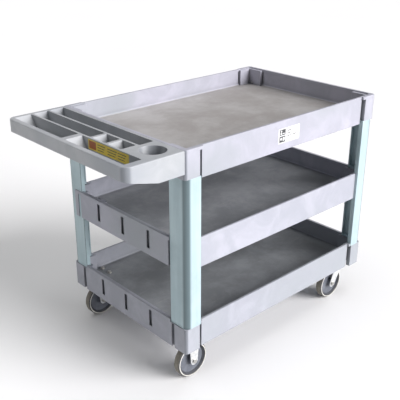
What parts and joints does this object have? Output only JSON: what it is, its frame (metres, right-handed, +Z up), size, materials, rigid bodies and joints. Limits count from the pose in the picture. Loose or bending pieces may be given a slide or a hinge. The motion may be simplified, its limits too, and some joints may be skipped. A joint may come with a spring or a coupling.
{
  "type": "rolling utility cart",
  "caption": "Moulded plastic service cart with deep tray shelves on corner legs, a tool tray handle with a cup holder, and rigid and swivel casters.",
  "frame": {"origin": "on the floor, under the middle of the overall box", "axes": "+X points away from the handle, +Y to the left of a person pushing the cart, +Z up"},
  "size_m": [1.152, 0.638, 0.838],
  "materials": {
    "shelf_plastic": "lightly textured structural foam",
    "leg_plastic": "satin moulded",
    "zinc_plate": "bright zinc plate",
    "bolt_steel": "zinc plated",
    "wheel_plastic": "moulded",
    "tyre_rubber": "matt, slightly scuffed",
    "white_sticker": "printed film",
    "yellow_sticker": "printed film"
  },
  "bodies": {
    "cart": {"top_shelf": "shelf_plastic", "middle_shelf": "shelf_plastic", "bottom_shelf": "shelf_plastic", "tool_tray_handle": "shelf_plastic", "leg_rear_right": "leg_plastic", "leg_rear_left": "leg_plastic", "leg_front_right": "leg_plastic", "leg_front_left": "leg_plastic", "leg_screws": "bolt_steel", "handle_screws": "bolt_steel", "caster_bolts": "bolt_steel", "caster_washers": "bolt_steel", "caster_nuts": "bolt_steel", "side_label": "white_sticker", "trough_label": "yellow_sticker", "rigid_bracket_rear_right": "zinc_plate", "axle_bolt_rear_right": "bolt_steel", "axle_nut_rear_right": "bolt_steel", "axle_sleeve_rear_right": "bolt_steel", "rigid_bracket_rear_left": "zinc_plate", "axle_bolt_rear_left": "bolt_steel", "axle_nut_rear_left": "bolt_steel", "axle_sleeve_rear_left": "bolt_steel", "caster_plate_front_right": "zinc_plate", "kingpin_front_right": "bolt_steel", "swivel_race_front_right": "zinc_plate", "swivel_balls_front_right": "bolt_steel", "caster_plate_front_left": "zinc_plate", "kingpin_front_left": "bolt_steel", "swivel_race_front_left": "zinc_plate", "swivel_balls_front_left": "bolt_steel"},
    "rear_right_wheel": {"wheel_core_rear_right": "wheel_plastic", "tyre_rear_right": "tyre_rubber"},
    "rear_left_wheel": {"wheel_core_rear_left": "wheel_plastic", "tyre_rear_left": "tyre_rubber"},
    "front_right_fork": {"swivel_fork_front_right": "zinc_plate", "axle_bolt_front_right": "bolt_steel", "axle_nut_front_right": "bolt_steel", "axle_sleeve_front_right": "bolt_steel"},
    "front_right_wheel": {"wheel_core_front_right": "wheel_plastic", "tyre_front_right": "tyre_rubber"},
    "front_left_fork": {"swivel_fork_front_left": "zinc_plate", "axle_bolt_front_left": "bolt_steel", "axle_nut_front_left": "bolt_steel", "axle_sleeve_front_left": "bolt_steel"},
    "front_left_wheel": {"wheel_core_front_left": "wheel_plastic", "tyre_front_left": "tyre_rubber"}
  },
  "joints": [
    {"name": "rear_right_wheel_spin", "type": "hinge", "parent": "cart", "child": "rear_right_wheel", "pos_m": [-0.296, -0.262, 0.0635], "axis": [0, 1, 0], "continuous": true},
    {"name": "rear_left_wheel_spin", "type": "hinge", "parent": "cart", "child": "rear_left_wheel", "pos_m": [-0.296, 0.262, 0.0635], "axis": [0, 1, 0], "continuous": true},
    {"name": "front_right_swivel", "type": "hinge", "parent": "cart", "child": "front_right_fork", "pos_m": [0.508, -0.262, 0.146], "axis": [0, 0, 1], "continuous": true},
    {"name": "front_right_wheel_spin", "type": "hinge", "parent": "front_right_fork", "child": "front_right_wheel", "pos_m": [0.462, -0.262, 0.0635], "axis": [0, 1, 0], "continuous": true},
    {"name": "front_left_swivel", "type": "hinge", "parent": "cart", "child": "front_left_fork", "pos_m": [0.508, 0.262, 0.146], "axis": [0, 0, 1], "continuous": true},
    {"name": "front_left_wheel_spin", "type": "hinge", "parent": "front_left_fork", "child": "front_left_wheel", "pos_m": [0.462, 0.262, 0.0635], "axis": [0, 1, 0], "continuous": true}
  ]
}
